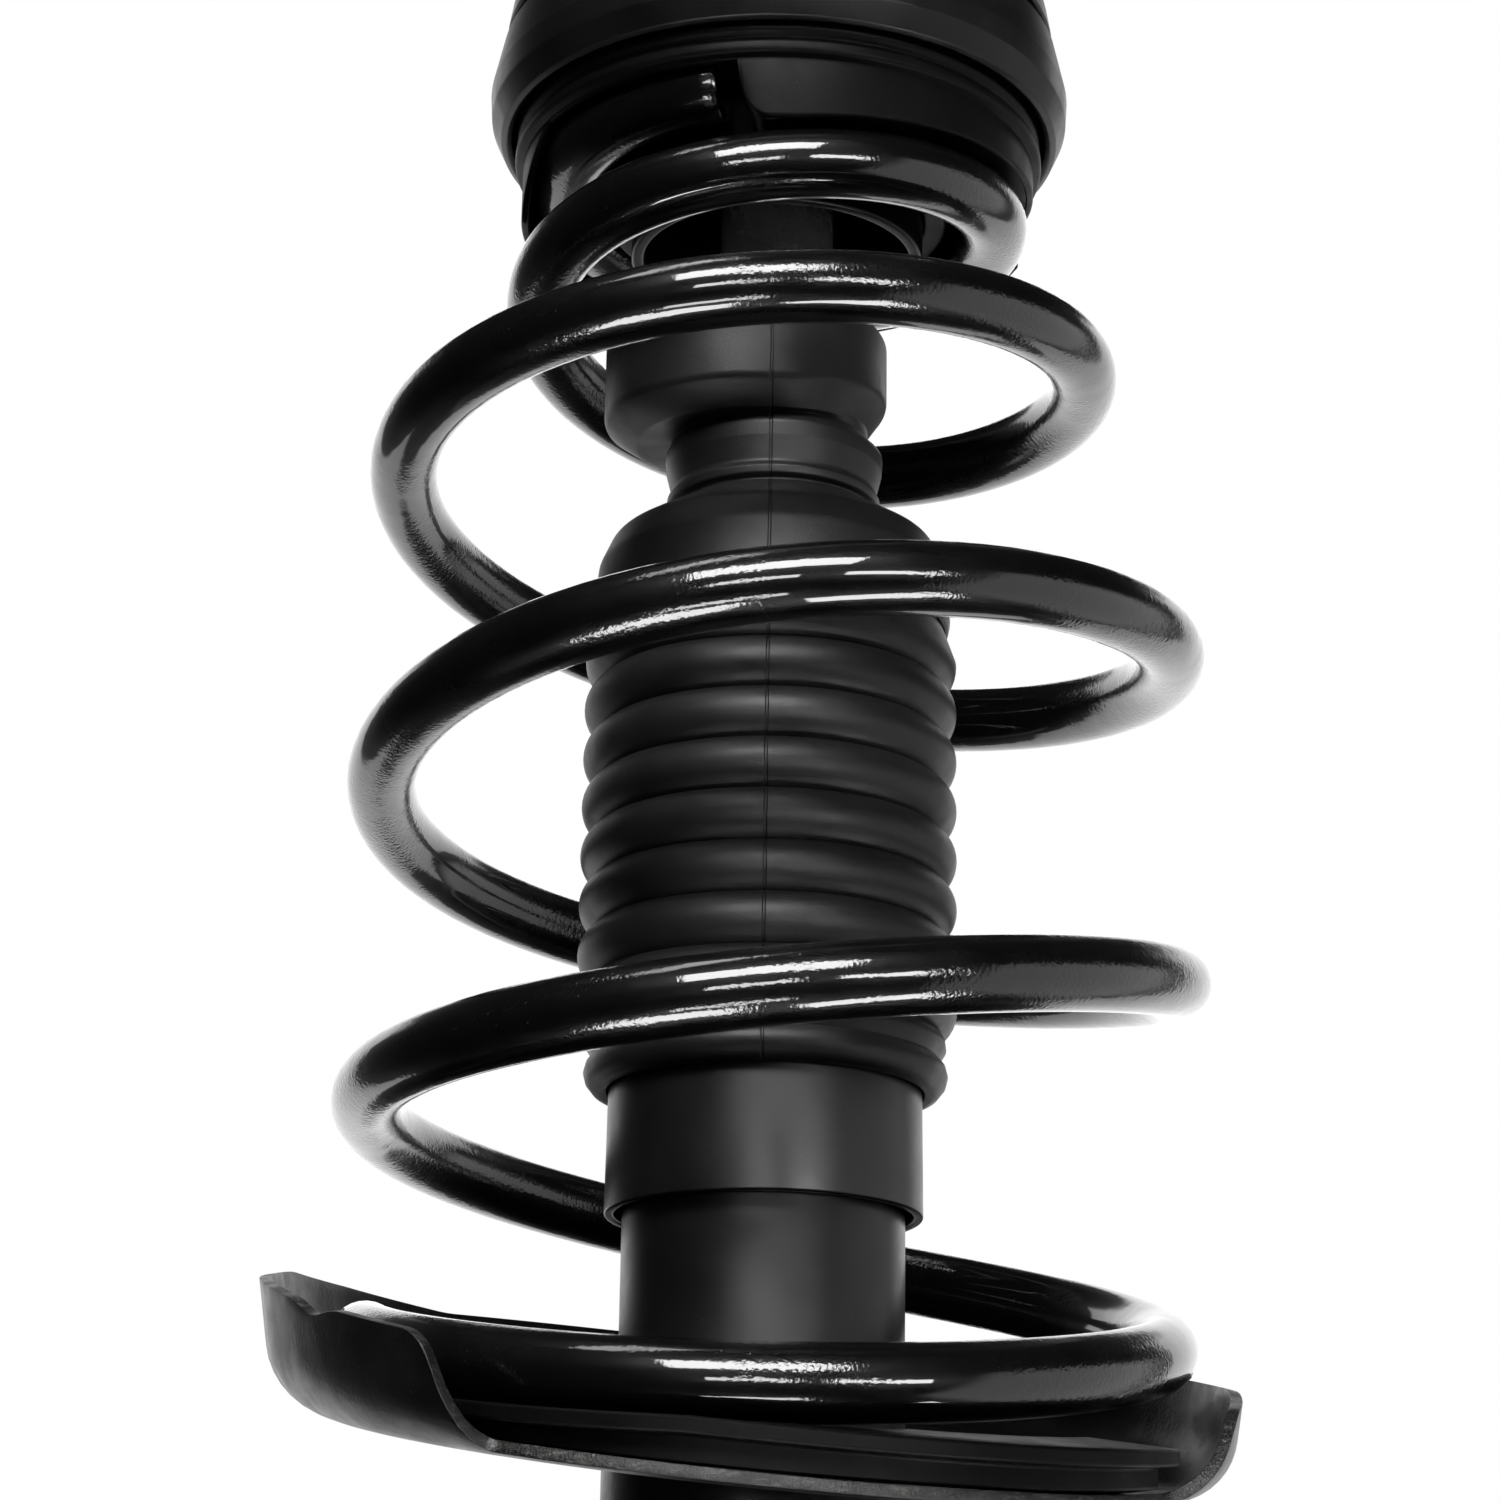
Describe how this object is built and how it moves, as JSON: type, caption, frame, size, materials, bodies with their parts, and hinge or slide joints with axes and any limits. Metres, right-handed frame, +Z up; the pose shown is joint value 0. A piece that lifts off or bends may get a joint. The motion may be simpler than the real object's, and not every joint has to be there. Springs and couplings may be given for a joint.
{
  "type": "suspension strut assembly",
  "caption": "Front suspension strut: telescopic damper in a tapering coil spring with a ribbed dust boot, domed upper seat, bearing top mount and knuckle bracket.",
  "frame": {"origin": "middle of the damper tube's flat base", "axes": "+Z up the piston rod to the top mount, -Y to the wheel, where the knuckle bracket's ears point, X along the car"},
  "size_m": [0.174, 0.169, 0.5137],
  "materials": {
    "spring_paint": "glossy black powder paint with a clear top",
    "boot_rubber": "soft black moulded rubber, half matte",
    "isolator_rubber": "black moulded rubber",
    "satin_black": "satin black paint",
    "black_coat": "smooth black dip coat with bare sheared edges",
    "rod_chrome": "hard chrome, polished",
    "zinc_steel": "zinc plated",
    "bearing_steel": "ground steel",
    "drawn_steel": "oiled drawn steel",
    "sintered_iron": "sintered iron",
    "bush_bronze": "bronze lined bush",
    "stop_foam": "cellular polyurethane",
    "ring_plastic": "filled low-friction plastic"
  },
  "bodies": {
    "top_mount": {"mount_plate": "satin_black", "stud_1": "zinc_steel", "stud_2": "zinc_steel", "stud_3": "zinc_steel", "mount_rubber": "isolator_rubber", "mount_core": "drawn_steel", "mount_housing": "satin_black", "bearing_upper_race": "bearing_steel", "rod_washer": "zinc_steel", "rod_nut": "zinc_steel", "piston_rod": "rod_chrome", "piston": "sintered_iron", "piston_ring": "ring_plastic", "piston_nut": "drawn_steel", "rebound_stop": "ring_plastic"},
    "bearing_cage": {"bearing_balls": "bearing_steel"},
    "upper_seat": {"upper_spring_seat": "satin_black", "bearing_lower_race": "bearing_steel", "upper_isolator": "isolator_rubber", "coil_spring": "spring_paint", "dust_boot": "boot_rubber", "jounce_bumper": "stop_foam"},
    "damper_body": {"strut_tube": "satin_black", "base_cap": "satin_black", "lower_spring_pan": "black_coat", "pan_collar": "black_coat", "lower_isolator": "isolator_rubber", "knuckle_bracket": "black_coat", "bracket_liner": "black_coat", "link_bracket": "black_coat", "hose_bracket": "black_coat", "striker_cap": "satin_black", "pressure_cylinder": "drawn_steel", "base_valve": "sintered_iron", "rod_guide": "sintered_iron", "guide_bush": "bush_bronze", "rod_seal": "isolator_rubber"}
  },
  "joints": [
    {"name": "steer_swivel", "type": "hinge", "parent": "top_mount", "child": "upper_seat", "pos_m": [0, 0, 0.4585], "axis": [0, 0, 1], "range_deg": [-40, 40]},
    {"name": "cage_roll", "type": "hinge", "parent": "top_mount", "child": "bearing_cage", "pos_m": [0, 0, 0.4585], "axis": [0, 0, 1], "range_deg": [-20, 20]},
    {"name": "suspension_travel", "type": "slide", "parent": "upper_seat", "child": "damper_body", "axis": [0, 0, 1], "range_m": [0, 0.08], "stiffness_N_per_m": 25000, "springref_m": -0.01, "deforming": ["coil_spring", "dust_boot"]}
  ],
  "couplings": [
    {"joint": "cage_roll", "follows": "steer_swivel", "ratio": 0.5}
  ]
}
